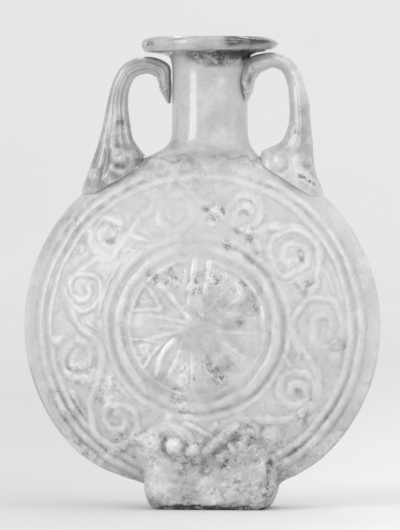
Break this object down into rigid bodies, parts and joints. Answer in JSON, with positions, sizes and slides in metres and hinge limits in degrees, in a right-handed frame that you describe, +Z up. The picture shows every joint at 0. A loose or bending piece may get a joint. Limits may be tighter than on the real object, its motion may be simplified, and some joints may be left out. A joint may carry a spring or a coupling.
{
  "type": "pilgrim flask",
  "caption": "Flattened round glass flask with a vine scroll and rosette in relief, a neck with a flat disc rim, ribbed strap handles and an oblong foot.",
  "frame": {"origin": "bottom centre of the whole flask's box, under the middle of the disc", "axes": "+Z up along the neck, +X to the right across the disc, relief face towards -Y"},
  "size_m": [0.161, 0.0616, 0.2117],
  "materials": {
    "body_glass": "weathered, milky and satin, with pitted patches",
    "handle_glass": "weathered, thicker and glossier than the body"
  },
  "bodies": {
    "root": {"flask_body": "body_glass", "left_handle": "handle_glass", "right_handle": "handle_glass"}
  },
  "joints": []
}
